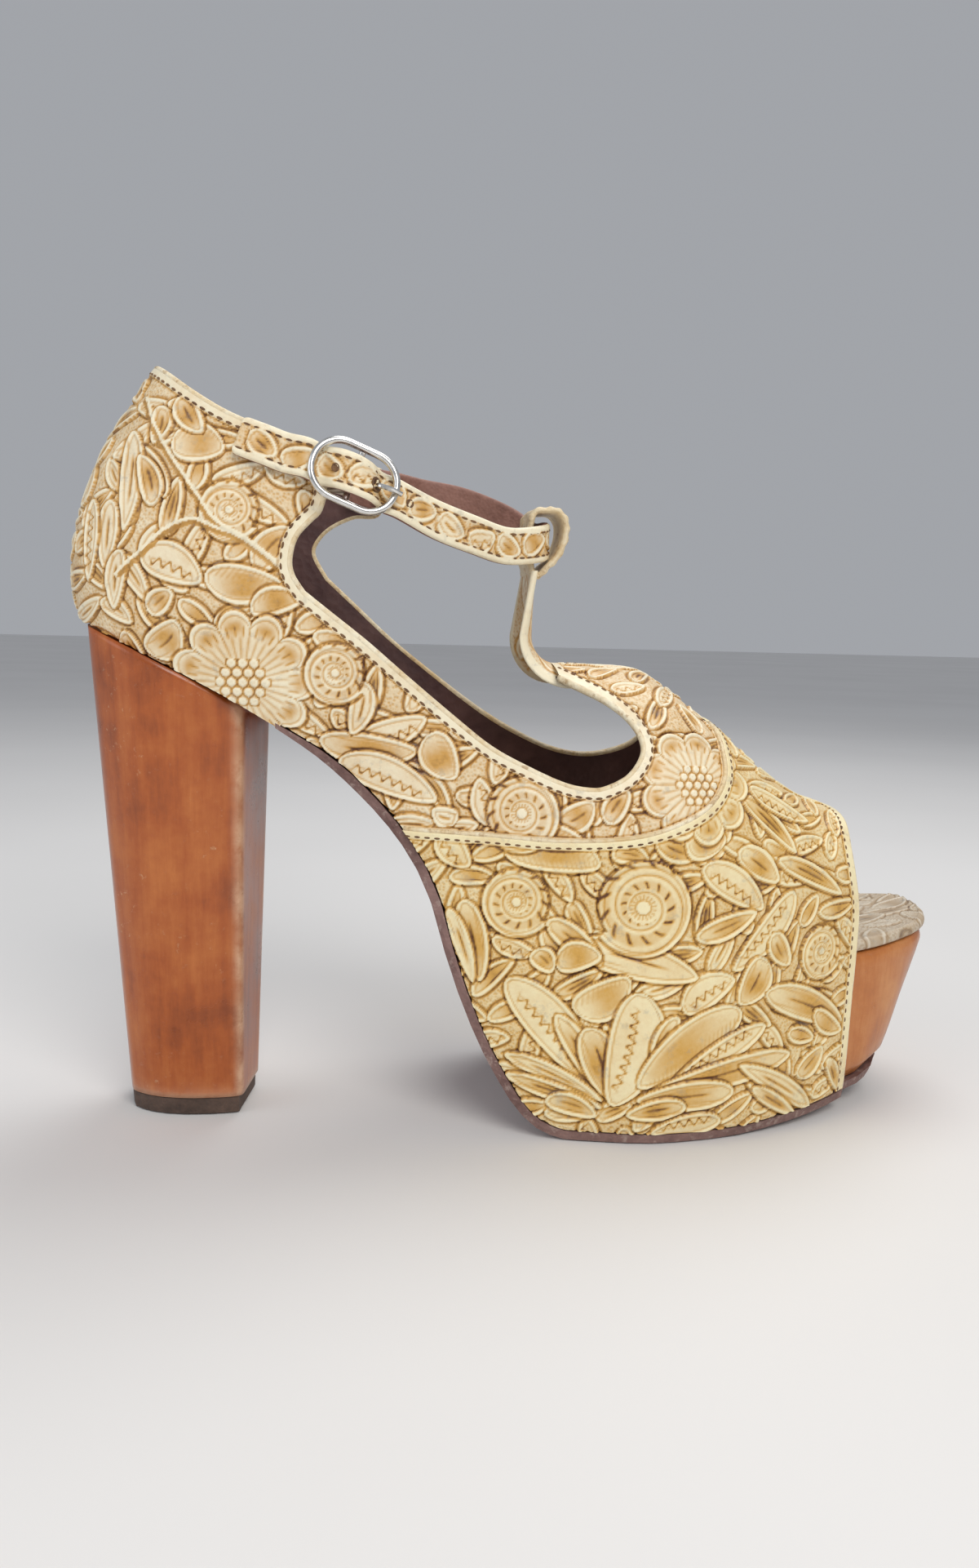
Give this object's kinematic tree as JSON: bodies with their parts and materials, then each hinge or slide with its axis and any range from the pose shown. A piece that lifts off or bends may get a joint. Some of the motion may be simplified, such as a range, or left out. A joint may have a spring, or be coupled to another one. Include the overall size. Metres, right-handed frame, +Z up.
{
  "type": "platform t-strap heel",
  "caption": "Right women's platform heel with a hollow tooled leather upper, t-strap, buckled ankle strap, open toe and side cut-outs on a wooden platform and block heel.",
  "frame": {"origin": "on the floor, under the middle of the shoe's box", "axes": "+X towards the toe, +Y towards the medial side, +Z up"},
  "size_m": [0.2418, 0.0864, 0.1908],
  "materials": {
    "upper_leather": "tooled, worn, satin",
    "insole_leather": "satin",
    "platform_wood": "varnished",
    "outsole_leather": "worn",
    "heel_wood": "varnished, scuffed",
    "lift_rubber": "matt",
    "buckle_metal": "polished, worn",
    "elastic_web": "ribbed"
  },
  "bodies": {
    "root": {"upper": "upper_leather", "ankle_strap": "upper_leather", "insole": "insole_leather", "platform": "platform_wood", "outsole": "outsole_leather", "heel": "heel_wood", "top_lift": "lift_rubber", "buckle_frame": "buckle_metal", "buckle_prong": "buckle_metal", "elastic_tab": "elastic_web"}
  },
  "joints": []
}
